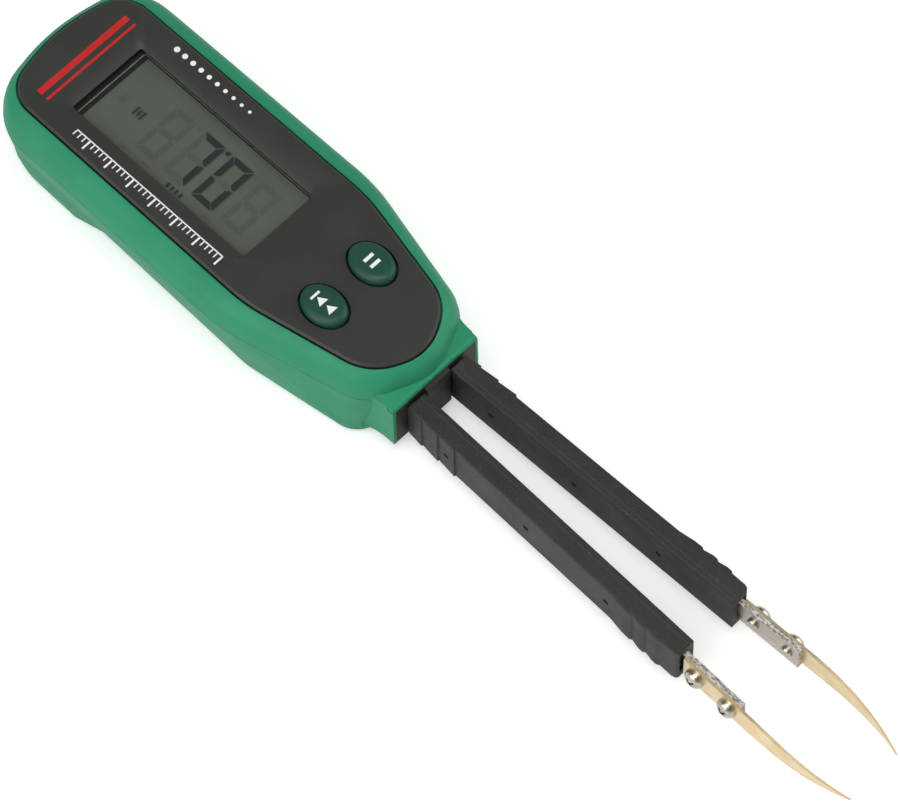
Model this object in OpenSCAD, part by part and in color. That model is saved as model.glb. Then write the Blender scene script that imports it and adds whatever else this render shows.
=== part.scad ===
// Hand-held component tester: a slim green body with a display and two keys, and two sprung
// tweezer arms with replaceable metal tips.
// X runs along the length, towards the tips. Y = 0 is the mid-plane, with the left arm on +Y.
// Z = 0 is the flat underside, and the origin is a point near its middle.
// Lengths along X in this source are measured from the front face of the neck.

/* [Sub-part] */
// Which sub-part to draw

/* [Body] */
// How far the origin lies behind the front face of the neck
origin_x = 44.0; // [40:1:50]
// Largest width of the body, at the joint between the two shells
body_w = 35.0; // [34.6:0.2:36]
// Rear end of the body
body_rear = -87.6; // [-88.2:0.2:-87.2]
// Front of the nose, just behind the neck's front face
body_nose = -0.9; // [-1.2:0.1:-0.6]
// Width of the underside at the rear, where the wall meets the floor
floor_w = 28.0; // [27.6:0.2:28.4]
// Width of the underside ahead of the battery door, where it is widest
floor_front_w = 30.4; // [30:0.2:30.8]
// Height of the joint between the two shells
joint_z = 13.0; // [12.9:0.1:13.1]
// Height of the top shell's rim
rim_z = 18.1; // [18:0.05:18.3]
// Thickness of the shell walls
wall = 1.8; // [1.6:0.1:2]
// How far the rear grip swells beyond the side wall
grip_swell = 1.4; // [1:0.05:1.5]

/* [Neck] */
// Width of the neck
neck_w = 18.8; // [18.6:0.1:19.2]
// Height of the neck's bottom edge
neck_z = 3.0; // [2.8:0.1:3.1]
// Height of the ledge on top of the neck
neck_top = 14.0; // [13.8:0.1:14.4]

/* [Front panel] */
// Width of the black front panel
panel_w = 26.8; // [26.4:0.2:27.2]
// Rear end of the panel
panel_rear = -85.5; // [-85.7:0.1:-85.3]
// Front end of the panel
panel_nose = -2.9; // [-3.2:0.1:-2.7]
// Height of the panel's face
panel_z = 18.6; // [18.5:0.05:18.8]
// Thickness of the panel
panel_t = 1.6; // [1.5:0.05:1.7]
// Gap around the panel
panel_gap = 0.3; // [0.2:0.05:0.4]

/* [Display] */
// Rear edge of the display frame
frame_rear = -76.0; // [-76.3:0.1:-75.7]
// Front edge of the display frame
frame_front = -33.6; // [-33.9:0.1:-33.3]
// Width of the display frame
frame_w = 17.6; // [17.2:0.1:17.8]
// Width of the sloping border at its sides and front
frame_slope = 1.2; // [1:0.1:1.4]
// Width of the sloping border at its rear
frame_rear_slope = 2.1; // [1.8:0.1:2.4]

/* [Keys] */
// Position of the keys along the body
key_x = -19.1; // [-19.4:0.1:-18.8]
// Distance of each key from the mid-plane
key_y = 5.28; // [5.1:0.02:5.4]
// Length of a key, along the body
key_l = 8.7; // [8.4:0.1:8.8]
// Width of a key
key_w = 6.4; // [6.2:0.1:6.5]
// How far a key stands above the panel
key_proud = 1.1; // [0.8:0.1:1.3]

/* [Arms] */
// Outward slope of the arms in degrees
arm_flare = 1.45; // [1.35:0.05:1.5]
// Distance from the mid-plane to each arm's bending line
arm_y = 5.35; // [5.25:0.05:5.45]
// Length of the plastic part of an arm
arm_l = 59.5; // [58.5:0.5:60.5]
// Thickness of an arm
arm_t = 3.6; // [3.5:0.05:3.65]
// Height of an arm
arm_h = 9.0; // [8.8:0.1:9.2]
// Height of the arms' centre line
arm_z = 7.75; // [7.7:0.05:7.8]
// Height of the metal strips in the arms
strip_h = 5.4; // [5.2:0.1:5.6]
// Length of a tip blade
blade_l = 33.1; // [32.5:0.1:34]
// Thickness of a tip blade
blade_t = 0.45; // [0.4:0.01:0.5]
// How far a tip curves back towards the mid-plane
blade_curve = 2.4; // [2.2:0.05:2.6]

/* [Inside] */
// Height of the circuit board's underside
board_z = 11.0; // [10.9:0.05:11.1]
// Thickness of the circuit board
board_t = 1.6; // [1.5:0.05:1.6]
// Diameter of the coin cell
cell_d = 20.0; // [19.9:0.05:20.1]
// Thickness of the coin cell
cell_t = 3.2; // [3.1:0.05:3.2]
// Position of the coin cell along the body
cell_x = -66.0; // [-66.3:0.1:-65.7]

/* [Hidden] */
fine = 48;
arc_steps = 8;
thin = 0.01;
seam = 0.2;
cut = 0.5;

panel_bottom = panel_z - panel_t;
shelf_z = panel_bottom - 1.4;
shelf_w = 2.0;
shelf_end = -78.0;
board_top = board_z + board_t;
frame_x = (frame_rear + frame_front) / 2;
frame_l = frame_front - frame_rear;
open_rear = frame_rear + frame_rear_slope;
open_front = frame_front - frame_slope;
open_x = (open_rear + open_front) / 2;
open_l = open_front - open_rear;
open_w = frame_w - 2 * frame_slope;
window_rim = 0.7;
slope_depth = 0.8;
window_t = 0.6;
window_gap = 0.1;
glass_l = open_l + 2.2;
glass_top = 16.6;
glass_t = 1.2;
flange_top = panel_bottom - 0.1;
flange_t = 0.9;
well_gap = 0.35;
press = 0.45;
plunger_d = 3.4;
plunger_gap = 0.05;
switch_top = 15.2;
switch_size = 6.0;
cell_z = 2.4;
door_l = 24.0;
door_w = 22.4;
door_t = 1.5;
door_z = 0.2;
door_top = door_z + door_t;
door_gap = 0.15;
box_top = 7.6;
box_r = cell_d / 2 + 0.3;
holder_front = 0.8;
holder_mid = 5.1;
holder_rear = -11.0;
holder_top = joint_z - 0.1;
pivot_x = 0.4;
root_x = 0.3;
leaf_t = 0.5;
leaf_tail = 8.0;
wire_x = -11.8;
wire_r = 0.4;
plate_t = 1.0;
plate_x = 46.0;
plate_end = 71.9;
leaf_end = 58.0;
blade_x = 60.0;
tip_screw_x = [62.7, 69.6];
tip_screw_r = 1.0;
tip_hole_r = 1.05;
tip_head_r = 1.75;
tip_head_h = 1.5;
lining_t = 1.1;
inner_face = -2.5;
outer_face = inner_face + arm_t;
arm_hole_x = [8.6, 26.3, 44.0];
arm_hole_r = 0.58;
screw_spots = [[-81.2, 7.5], [-12.5, 9.0]];
screw_r = 0.95;
screw_head_r = 1.7;
screw_head_z = 2.6;
boss_r = 2.1;
screw_gap = 0.05;
fillet_l = 4.6;
fillet_w = 1.3;
ledge_l = 1.7;
ledge_r = 0.5;
ramp_r = 5.5;
screw_recess_r = screw_head_r + 0.15;
screw_head_top = screw_head_z + 1.3;

green = [0.19, 0.56, 0.41];
black = [0.20, 0.20, 0.19];
dark_green = [0.15, 0.30, 0.23];
steel = [0.72, 0.70, 0.67];
gold = [0.86, 0.76, 0.55];
board_green = [0.08, 0.33, 0.18];

// Mixes a and b.
function mix(a, b, t) = a + (b - a) * t;

// Rounds the corner p between a and c with radius r, and gives the arc's points.
function corner(a, p, c, r) =
    let (
        u = (a - p) / norm(a - p),
        v = (c - p) / norm(c - p),
        half = acos(u * v) / 2,
        reach = r / tan(half),
        centre = p + (u + v) / norm(u + v) * r / sin(half),
        from = p + u * reach - centre,
        to = p + v * reach - centre,
        a0 = atan2(from[1], from[0]),
        turn = atan2(from[0] * to[1] - from[1] * to[0], from * to)
    )
    [for (i = [0:arc_steps]) centre + r * [cos(a0 + turn * i / arc_steps), sin(a0 + turn * i / arc_steps)]];

// Rounds a whole outline given as [x, y, radius] points.
function rounded(p) =
    let (n = len(p))
    [for (i = [0:n - 1])
        let (a = p[(i + n - 1) % n], b = p[i], c = p[(i + 1) % n])
        each corner([a[0], a[1]], [b[0], b[1]], [c[0], c[1]], b[2])];

// The upper half of an outline, followed by its mirror image.
function mirrored(p) =
    let (n = len(p))
    concat(p, [for (i = [n - 2:-1:1]) [p[i][0], -p[i][1], p[i][2]]]);

// Body outlines: rear, rear corner, side bend, shoulder, nose.
panel_plan = [
    [panel_rear - 0.5, 0, 30],
    [panel_rear + 2.2, panel_w / 2 - 0.35, 6],
    [-28.5, panel_w / 2, 30],
    [panel_nose - 3.1, 8.6, 9],
    [panel_nose + 1.2, 0, 8.5]
];
girth_plan = [
    [body_rear - 0.5, 0, 34],
    [body_rear + 2.6, body_w / 2 - 0.5, 10],
    [-30.5, body_w / 2, 34],
    [body_nose - 3.4, 11.2, 8],
    [body_nose + 1.2, 0, 9]
];
floor_plan = [
    [body_rear + 2.1, 0, 34],
    [body_rear + 5.0, floor_w / 2, 8],
    [-27.5, floor_front_w / 2, 14],
    [body_nose - 5.2, 11.9, 5],
    [body_nose - 2.4, 0, 9]
];

// Draws an outline between the panel (t = 0) and the girth (t = 1).
module shell_outline(t) {
    polygon(rounded(mirrored([for (i = [0:4]) mix(panel_plan[i], girth_plan[i], t)])));
}

// Draws an outline between the floor (t = 0) and the girth (t = 1).
module tub_outline(t) {
    polygon(rounded(mirrored([for (i = [0:4]) mix(floor_plan[i], girth_plan[i], t)])));
}

// The part of the tub's outline that starts at x and is l long, grown by d.
module grip_outline(x, l, t, d) {
    offset(delta = d)
        intersection() {
            tub_outline(t);
            translate([x, -body_w / 2]) square([l, body_w]);
        }
}

// Moves a child from neck-based lengths to the origin.
module from_neck() {
    translate([origin_x, 0, 0])
        children();
}

// A thin slice of an outline at height z.
module slice(z) {
    translate([0, 0, z])
        linear_extrude(thin)
            children();
}

// A box centred on x and y, standing on z.
module block(x, y, z, size) {
    translate([x - size[0] / 2, y - size[1] / 2, z])
        cube(size);
}

// A rod standing on z.
module rod(x, y, z, r, h) {
    translate([x, y, z])
        cylinder(h = h, r = r, $fn = fine);
}

// A flat rectangle with round corners.
module round_rect(l, w, r) {
    polygon(rounded([
        [-l / 2, -w / 2, r],
        [l / 2, -w / 2, r],
        [l / 2, w / 2, r],
        [-l / 2, w / 2, r]
    ]));
}

// A flat oval.
module oval(l, w) {
    scale([l / w, 1])
        circle(d = w, $fn = fine);
}

// Repeats a child on both sides of the mid-plane.
module both_sides() {
    for (s = [0, 1])
        mirror([0, s, 0])
            children();
}

// ---------------------------------------------------------------- shells

// Hollow curves that blend the sides of the neck into the nose.
module neck_fillets(z, h) {
    both_sides()
        translate([-fillet_l - 1.2, neck_w / 2 - 0.5, z])
            difference() {
                cube([fillet_l, fillet_w + 0.5, h]);
                translate([fillet_l, fillet_w + 0.5, -cut])
                    scale([fillet_l / fillet_w, 1, 1])
                        cylinder(h = h + 2 * cut, r = fillet_w, $fn = fine);
            }
}

module top_shell_block() {
    hull() {
        slice(joint_z) offset(delta = -seam) shell_outline(1);
        slice(joint_z + seam) shell_outline(1);
        slice(joint_z + 1.7) shell_outline(0.94);
        slice(joint_z + 3.3) shell_outline(0.78);
        slice(joint_z + 4.4) shell_outline(0.54);
        slice(rim_z - thin) shell_outline(0.17);
    }
    neck_fillets(joint_z, neck_top - joint_z);
    // ledge on the neck, with a round front edge and a hollow ramp up to the nose
    rotate([90, 0, 0])
        linear_extrude(neck_w - 0.3, center = true)
            polygon(concat(
                [[-9, joint_z], [0, joint_z]],
                [for (a = [0:30:90])
                    [ledge_r * (cos(a) - 1), neck_top - ledge_r * (1 - sin(a))]],
                [for (a = [0:15:60])
                    [-ledge_l - ramp_r * sin(a), neck_top + ramp_r * (1 - cos(a))]],
                [[-9, rim_z - 0.4]]
            ));
}

module top_shell() color(green) from_neck() {
    difference() {
        top_shell_block();
        // inside of the shell, up to the shelf that carries the panel
        hull() {
            slice(joint_z - cut) offset(delta = -wall) shell_outline(1);
            slice(shelf_z - thin) offset(delta = -wall) shell_outline(0.8);
        }
        // opening in the shelf, which stays whole behind the display
        translate([0, 0, shelf_z - cut])
            linear_extrude(rim_z)
                intersection() {
                    offset(delta = -shelf_w) shell_outline(0);
                    translate([shelf_end, -body_w / 2]) square([-shelf_end, body_w]);
                }
        // recess for the panel
        translate([0, 0, panel_bottom])
            linear_extrude(rim_z)
                offset(delta = panel_gap) shell_outline(0);
    }
    // screw posts under the shelf
    both_sides()
        for (p = screw_spots)
            difference() {
                rod(p[0], p[1], board_top, boss_r, shelf_z + 0.4 - board_top);
                rod(p[0], p[1], board_top - cut, screw_r + screw_gap, shelf_z - board_top + cut);
            }
}

module bottom_shell() color(green) from_neck() {
    difference() {
        union() {
            hull() {
                slice(joint_z - thin) offset(delta = -seam) tub_outline(1);
                slice(joint_z - seam) tub_outline(1);
                slice(joint_z - 4) tub_outline(0.82);
                slice(1.4) tub_outline(0);
                slice(0.4) offset(delta = -0.5) tub_outline(0);
                slice(0) offset(delta = -1.3) tub_outline(0);
            }
            // fuller grip around the battery
            hull() {
                slice(joint_z - 3.0) grip_outline(-84, 21, 0.8, -0.3);
                slice(5) grip_outline(-83.5, 15.8, 0.35, grip_swell - 0.35);
                slice(1.6) grip_outline(-83.3, 15.4, 0, grip_swell);
                slice(1.6) grip_outline(-83.3, 22.8, 0, -0.1);
                slice(0.2) grip_outline(-83.3, 15.4, 0, grip_swell - 1.2);
                slice(0.2) grip_outline(-83.3, 22.8, 0, -1.3);
            }
            // neck
            translate([-9, -neck_w / 2, neck_z])
                cube([9, neck_w, joint_z - neck_z]);
            neck_fillets(neck_z, joint_z - neck_z);
        }
        // inside of the shell
        hull() {
            slice(joint_z) offset(delta = -wall) tub_outline(1);
            slice(1.6) offset(delta = -wall) tub_outline(0);
        }
        // open front of the neck, filled by the arm holder
        translate([-14, -8.7, neck_z - 0.05])
            cube([15, 17.4, joint_z]);
        // opening for the battery door
        block(cell_x, 0, -cut, [door_l, door_w, cut + 2]);
        // recesses for the screw heads
        both_sides()
            for (p = screw_spots)
                rod(p[0], p[1], -cut, screw_recess_r, screw_head_top + cut);
    }
    // battery box
    difference() {
        block(cell_x, 0, 1.3, [door_l + 2.4, door_w + 1.6, box_top - 1.3]);
        block(cell_x, 0, -cut, [door_l, door_w, cut + door_top + 0.05]);
        rod(cell_x, 0, 0, box_r, 6.6);
        // slots for the two contacts
        block(cell_x - 6.0, 0, 5, [3.4, 4.6, 5]);
        translate([cell_x + 9.0, -2.4, 1.8])
            cube([2.4, 4.8, 8]);
    }
    // screw posts
    both_sides()
        for (p = screw_spots)
            difference() {
                rod(p[0], p[1], 1.0, boss_r + 0.2, board_z - 1.0);
                rod(p[0], p[1], -cut, screw_recess_r, screw_head_top + cut);
                rod(p[0], p[1], 0, screw_r + 0.15, board_z + cut);
            }
}

module battery_door() color(green) from_neck() {
    difference() {
        union() {
            block(cell_x, 0, door_z, [door_l - 2 * door_gap, door_w - 2 * door_gap, door_t]);
            // pad that carries the coin cell
            rod(cell_x, 0, door_z, 8, cell_z - 0.05 - door_z);
        }
        // finger grooves
        for (i = [-1:1])
            translate([cell_x + 8.5 + i * 1.6, -5, door_z])
                rotate([-90, 0, 0])
                    cylinder(h = 10, r = 0.45, $fn = 24);
    }
}

module case_screws() color(steel) from_neck() {
    both_sides()
        for (p = screw_spots)
            translate([p[0], p[1], 0])
                difference() {
                    rotate_extrude($fn = fine)
                        polygon([
                            [0, screw_head_z],
                            [screw_head_r - 0.5, screw_head_z],
                            [screw_head_r, screw_head_z + 0.4],
                            [screw_head_r, screw_head_top],
                            [screw_r, screw_head_top],
                            [screw_r, shelf_z - 0.7],
                            [screw_r - 0.5, shelf_z - 0.1],
                            [0, shelf_z - 0.1]
                        ]);
                    for (a = [0, 90])
                        rotate([0, 0, a])
                            block(0, 0, screw_head_z - cut, [2.4, 0.5, cut + 0.7]);
                }
}

// ---------------------------------------------------------------- front panel and display

module front_panel() color(black) from_neck() {
    difference() {
        union() {
            translate([0, 0, panel_bottom])
                linear_extrude(panel_t - 0.35)
                    shell_outline(0);
            hull() {
                slice(panel_z - 0.36) shell_outline(0);
                slice(panel_z - thin) offset(delta = -0.35) shell_outline(0);
            }
        }
        // sloping border of the display
        hull() {
            translate([open_x, 0, panel_z - slope_depth])
                linear_extrude(thin)
                    round_rect(open_l, open_w, 0.8);
            translate([frame_x, 0, panel_z])
                linear_extrude(thin)
                    round_rect(frame_l, frame_w, 2.4);
        }
        // display opening and the seat of the window under it
        translate([open_x, 0, panel_bottom - cut])
            linear_extrude(panel_t + cut)
                round_rect(open_l, open_w, 0.5);
        block(
            open_x, 0, panel_bottom - cut,
            [open_l + 2 * window_rim, open_w + 2 * window_rim, cut + window_t]
        );
        // wells of the two keys
        for (s = [-1, 1])
            translate([key_x, s * key_y, panel_bottom - cut])
                linear_extrude(panel_t + 2 * cut)
                    oval(key_l + 2 * well_gap, key_w + 2 * well_gap);
    }
}

module lcd_window() color([0.75, 0.8, 0.78, 0.4]) from_neck() {
    grow = 2 * (window_rim - window_gap);
    block(open_x, 0, panel_bottom, [open_l + grow, open_w + grow, window_t - 0.02]);
}

module lcd_glass() color([0.42, 0.46, 0.42]) from_neck() {
    // front glass, rear glass with its contact edge, and the rear film
    block(open_x, 0, glass_top - 0.55, [glass_l - 0.6, 18.2, 0.55]);
    block(open_x, 0, glass_top - 1.10, [glass_l - 0.6, 19.0, 0.56]);
    block(open_x, 0, glass_top - glass_t, [glass_l - 4, 13.2, 0.11]);
}

module lcd_frame() color(black) from_neck() {
    difference() {
        block(open_x, 0, board_top, [glass_l + 2.6, 21.6, 4.2]);
        // pocket for the glass
        block(open_x, 0, glass_top - 1.12, [glass_l - 0.4, 19.2, 3]);
        // space under the glass
        block(open_x, 0, board_top - cut, [glass_l - 3.4, 13.6, 6]);
        // channels for the contact rubbers
        both_sides()
            block(open_x, 8.6, board_top - cut, [glass_l - 5.8, 1.5, 6]);
    }
}

module contact_rubbers() color([0.75, 0.68, 0.72]) from_neck() {
    both_sides()
        block(open_x, 8.6, board_top, [glass_l - 6, 1.4, glass_top - 1.1 - board_top]);
}

// ---------------------------------------------------------------- keys

module key(s) {
    difference() {
        union() {
            hull() {
                for (k = [[0, 0], [0.45, 0.08], [0.80, 0.3], [1.0, 0.75], [1.06, 1.4]])
                    translate([key_x, s * key_y, panel_z + (key_proud - 1.07) + k[0]])
                        linear_extrude(thin)
                            oval(key_l - 2 * k[1], key_w - 2 * k[1]);
            }
            translate([key_x, s * key_y, flange_top - flange_t])
                linear_extrude(panel_z - flange_top + flange_t + 0.1)
                    oval(key_l, key_w);
            // flange that keeps the key in its well
            translate([key_x, s * key_y, flange_top - flange_t])
                linear_extrude(flange_t)
                    oval(key_l + 1.2, key_w + 1.2);
        }
        // hollow underneath, around the part that meets the switch
        translate([key_x, s * key_y, flange_top - flange_t - cut])
            linear_extrude(cut + 1.1)
                difference() {
                    oval(key_l - 1.8, key_w - 1.2);
                    circle(d = plunger_d + 0.4, $fn = fine);
                }
    }
}

module mode_key() color(dark_green) from_neck() key(-1);

module hold_key() color(dark_green) from_neck() key(1);

module plunger(s) {
    rod(key_x, s * key_y, switch_top - 0.6, plunger_d / 2, flange_top - flange_t - switch_top + 0.6);
}

module mode_plunger() color([0.12, 0.12, 0.12]) from_neck() plunger(-1);

module hold_plunger() color([0.12, 0.12, 0.12]) from_neck() plunger(1);

module switch_bodies() color(steel) from_neck() {
    both_sides()
        difference() {
            block(key_x, key_y, board_top, [switch_size, switch_size, switch_top - board_top]);
            rod(
                key_x, key_y, switch_top - 0.6 - press - 0.1,
                plunger_d / 2 + plunger_gap, 3
            );
        }
}

// ---------------------------------------------------------------- circuit board

module circuit_board() color(board_green) from_neck() {
    translate([0, 0, board_z])
        linear_extrude(board_t)
            difference() {
                intersection() {
                    offset(delta = -wall - 0.6) shell_outline(1);
                    translate([body_rear, -body_w / 2]) square([-11.2 - body_rear, body_w]);
                }
                for (s = [-1, 1])
                    for (p = screw_spots)
                        translate([p[0], s * p[1]])
                            circle(r = screw_r + 0.2, $fn = fine);
            }
}

module main_chip() color([0.1, 0.1, 0.1]) from_neck() {
    block(-55, 0, board_top + 0.1, [9.6, 9.6, 1.3]);
    for (a = [0:90:270])
        translate([-55, 0, 0])
            rotate([0, 0, a])
                for (i = [-5:5])
                    block(5.1, i * 0.8, board_top, [1.4, 0.35, 0.25]);
}

module board_parts() color([0.62, 0.5, 0.36]) from_neck() {
    // row of small resistors and capacitors
    for (i = [0:4])
        block(-44.5 + i * 1.9, -3.5, board_top, [0.9, 1.7, 0.6]);
    for (i = [0:3])
        block(-69 + i * 1.9, 3.8, board_top, [0.9, 1.7, 0.6]);
    // crystal can
    translate([-44, 4, board_top + 1.0])
        rotate([0, 90, 0])
            cylinder(h = 6, r = 1.0, $fn = 24);
    // smoothing capacitor under the board
    rod(-32, 0, board_z - 5.4, 2.5, 5.4);
    // fuse under the board
    block(-40, -6, board_z - 2.4, [7, 2.6, 2.4]);
}

// ---------------------------------------------------------------- battery and wiring

module coin_cell_can() color(steel) from_neck() {
    translate([cell_x, 0, cell_z])
        rotate_extrude($fn = 64)
            polygon([
                [0, 0],
                [cell_d / 2 - 0.4, 0],
                [cell_d / 2, 0.4],
                [cell_d / 2, cell_t - 0.5],
                [cell_d / 2 - 0.6, cell_t - 0.25],
                [cell_d / 2 - 1.1, cell_t - 0.25],
                [cell_d / 2 - 1.1, cell_t - 0.9],
                [0, cell_t - 0.9]
            ]);
}

module coin_cell_cap() color([0.8, 0.8, 0.8]) from_neck() {
    translate([cell_x, 0, cell_z + cell_t - 0.9])
        rotate_extrude($fn = 64)
            polygon([
                [0, 0],
                [cell_d / 2 - 1.3, 0],
                [cell_d / 2 - 1.3, 0.5],
                [cell_d / 2 - 1.7, 0.9],
                [0, 0.9]
            ]);
}

module cell_plus_contact() color(steel) from_neck() {
    translate([cell_x + cell_d / 2 + 0.1, -2, 2.6])
        cube([0.3, 4, board_z - 2.6]);
    translate([cell_x + cell_d / 2 + 0.1, -2, board_z - 0.3])
        cube([4, 4, 0.3]);
}

module cell_minus_contact() color(steel) from_neck() {
    // spring finger resting on the cell
    translate([cell_x - 7, -1.6, cell_z + cell_t])
        cube([9, 3.2, 0.3]);
    translate([cell_x - 7, -1.6, cell_z + cell_t])
        cube([0.3, 3.2, board_z - cell_z - cell_t]);
    translate([cell_x - 7, -1.6, board_z - 0.3])
        cube([3, 3.2, 0.3]);
}

module lead_wires() color([0.75, 0.1, 0.08]) from_neck() {
    both_sides() {
        translate([wire_x, arm_y + 0.05, arm_z])
            rotate([0, 90, 0])
                cylinder(h = pivot_x - leaf_tail - 0.6 - wire_x, r = wire_r, $fn = 24);
        translate([wire_x, arm_y + 0.05, arm_z])
            sphere(r = wire_r, $fn = 24);
        translate([wire_x, arm_y + 0.05, arm_z])
            cylinder(h = board_z - arm_z, r = wire_r, $fn = 24);
    }
}

// ---------------------------------------------------------------- arm holder

module arm_holder() color(black) from_neck() {
    difference() {
        union() {
            translate([-7, -8.6, neck_z])
                cube([7, 17.2, holder_top - neck_z]);
            // block between the roots of the arms
            translate([-7, -holder_mid / 2, neck_z])
                cube([7 + holder_front, holder_mid, holder_top - neck_z]);
            translate([holder_rear, -6.5, neck_z])
                cube([4.1, 13.0, holder_top - neck_z]);
        }
        // slots of the leaf springs, wide enough for the springs to swing
        both_sides()
            translate([holder_rear - cut, arm_y - leaf_t / 2 - 0.25, arm_z - strip_h / 2 - 0.1])
                cube([holder_front - holder_rear + 2 * cut, leaf_t + 0.6, strip_h + 0.2]);
    }
}

// ---------------------------------------------------------------- arms

// Places a child on the left arm: x along the arm from its bending line, z from its centre line.
module on_arm() {
    translate([pivot_x, arm_y, arm_z])
        rotate([0, 0, arm_flare])
            children();
}

// Plan of the outer face: three raised scales near the root and three near the end.
function outer_edge() = [
    [root_x - pivot_x, outer_face],
    [3.0, outer_face + 0.28],
    [3.1, outer_face + 0.02],
    [6.7, outer_face + 0.30],
    [6.8, outer_face + 0.02],
    [10.5, outer_face + 0.30],
    [10.6, outer_face],
    [45.0, outer_face],
    [47.5, outer_face + 0.34],
    [49.6, outer_face + 0.40],
    [50.0, outer_face + 0.16],
    [51.4, outer_face + 0.46],
    [52.6, outer_face + 0.46],
    [53.0, outer_face + 0.20],
    [54.4, outer_face + 0.46],
    [55.6, outer_face + 0.42],
    [56.0, outer_face + 0.16],
    [58.6, outer_face + 0.12],
    [arm_l - 0.3, outer_face - 0.08],
    [arm_l, outer_face - 0.5]
];

module arm_cover() {
    difference() {
        translate([0, 0, -arm_h / 2])
            linear_extrude(arm_h)
                polygon(concat(
                    [[arm_l, inner_face + lining_t], [root_x - pivot_x, inner_face + lining_t]],
                    outer_edge()
                ));
        // channel for the metal strips
        translate([-1, inner_face + lining_t - cut, -strip_h / 2 - 0.05])
            cube([arm_l + 2, cut - inner_face - lining_t + leaf_t / 2 + 0.05, strip_h + 0.1]);
        for (x = arm_hole_x)
            translate([x, 0, 0])
                rotate([-90, 0, 0])
                    cylinder(h = 5, r = arm_hole_r, $fn = 32);
    }
}

module arm_lining() {
    difference() {
        translate([root_x - pivot_x, inner_face, -arm_h / 2])
            cube([arm_l - root_x + pivot_x, lining_t, arm_h]);
        for (x = arm_hole_x)
            translate([x, -5, 0])
                rotate([-90, 0, 0])
                    cylinder(h = 5, r = arm_hole_r, $fn = 32);
    }
}

module leaf_spring() {
    translate([-leaf_tail, -leaf_t / 2, -strip_h / 2])
        cube([leaf_end + leaf_tail, leaf_t, strip_h]);
}

module tip_plate() {
    difference() {
        translate([plate_x, -leaf_t / 2 - plate_t, -strip_h / 2])
            cube([plate_end - plate_x, plate_t, strip_h]);
        for (x = tip_screw_x)
            translate([x, -5, 0])
                rotate([-90, 0, 0])
                    cylinder(h = 10, r = tip_hole_r, $fn = fine);
    }
}

// Blade along the arm: straight up to bend_x, then curving inwards and tapering to the tip.
blade_end = blade_x + blade_l;
bend_x = 74.5;
bend_power = 2.6;
taper_power = 1.5;
blade_steps = 14;
blade_half = 2.6;
tip_half = 0.12;
tip_drop = 0.9;
tip_thin = 0.45;
blade_xs = concat(
    [blade_x],
    [for (i = [0:blade_steps]) bend_x + (blade_end - bend_x) * i / blade_steps]
);
blade_xs_back = [for (i = [len(blade_xs) - 1:-1:0]) blade_xs[i]];

// How far along its curve the blade is at x, from 0 at the bend to 1 at the tip.
function along(x) = max(0, (x - bend_x) / (blade_end - bend_x));
function bend(x) = -blade_curve * pow(along(x), bend_power);
function taper(x) = 1 - pow(along(x), taper_power);

// Inner and outer face, and top and bottom edge, at x.
function blade_near(x) = -leaf_t / 2 + bend(x);
function blade_far(x) = blade_near(x) + blade_t * (1 - tip_thin * (1 - taper(x)));
function blade_top(x) = mix(blade_half, tip_half - tip_drop, 1 - taper(x));
function blade_bottom(x) = mix(-blade_half, -tip_half - tip_drop, 1 - taper(x));

module tip_blade() {
    difference() {
        intersection() {
            translate([0, 0, -5])
                linear_extrude(10)
                    polygon(concat(
                        [for (x = blade_xs) [x, blade_near(x)]],
                        [for (x = blade_xs_back) [x, blade_far(x)]]
                    ));
            translate([0, 5, 0])
                rotate([90, 0, 0])
                    linear_extrude(12)
                        polygon(concat(
                            [for (x = blade_xs) [x, blade_bottom(x)]],
                            [for (x = blade_xs_back) [x, blade_top(x)]]
                        ));
        }
        for (x = tip_screw_x)
            translate([x, -5, 0])
                rotate([-90, 0, 0])
                    cylinder(h = 10, r = tip_hole_r + 0.1, $fn = fine);
    }
}

module tip_screws() {
    for (x = tip_screw_x)
        translate([x, -leaf_t / 2 + blade_t, 0])
            rotate([-90, 0, 0])
                difference() {
                    rotate_extrude($fn = fine)
                        polygon(concat(
                            [[0, -2.0], [tip_screw_r - 0.15, -2.0], [tip_screw_r, -1.8], [tip_screw_r, 0]],
                            [[tip_head_r, 0], [tip_head_r, 0.35]],
                            [for (a = [15:15:90])
                                [tip_head_r * cos(a), 0.35 + (tip_head_h - 0.35) * sin(a)]]
                        ));
                    for (a = [45, 135])
                        rotate([0, 0, a])
                            block(0, 0, tip_head_h - 0.6, [1.9, 0.42, 1]);
                }
}

module left_arm_cover() color(black) from_neck() on_arm() arm_cover();

module left_arm_lining() color(black) from_neck() on_arm() arm_lining();

module left_leaf_spring() color(steel) from_neck() on_arm() leaf_spring();

module left_tip_plate() color(steel) from_neck() on_arm() tip_plate();

module left_tip_blade() color(gold) from_neck() on_arm() tip_blade();

module left_tip_screws() color(steel) from_neck() on_arm() tip_screws();

module right_arm_cover() color(black) from_neck() mirror([0, 1, 0]) on_arm() arm_cover();

module right_arm_lining() color(black) from_neck() mirror([0, 1, 0]) on_arm() arm_lining();

module right_leaf_spring() color(steel) from_neck() mirror([0, 1, 0]) on_arm() leaf_spring();

module right_tip_plate() color(steel) from_neck() mirror([0, 1, 0]) on_arm() tip_plate();

module right_tip_blade() color(gold) from_neck() mirror([0, 1, 0]) on_arm() tip_blade();

module right_tip_screws() color(steel) from_neck() mirror([0, 1, 0]) on_arm() tip_screws();

// ---------------------------------------------------------------- assembly

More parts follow.
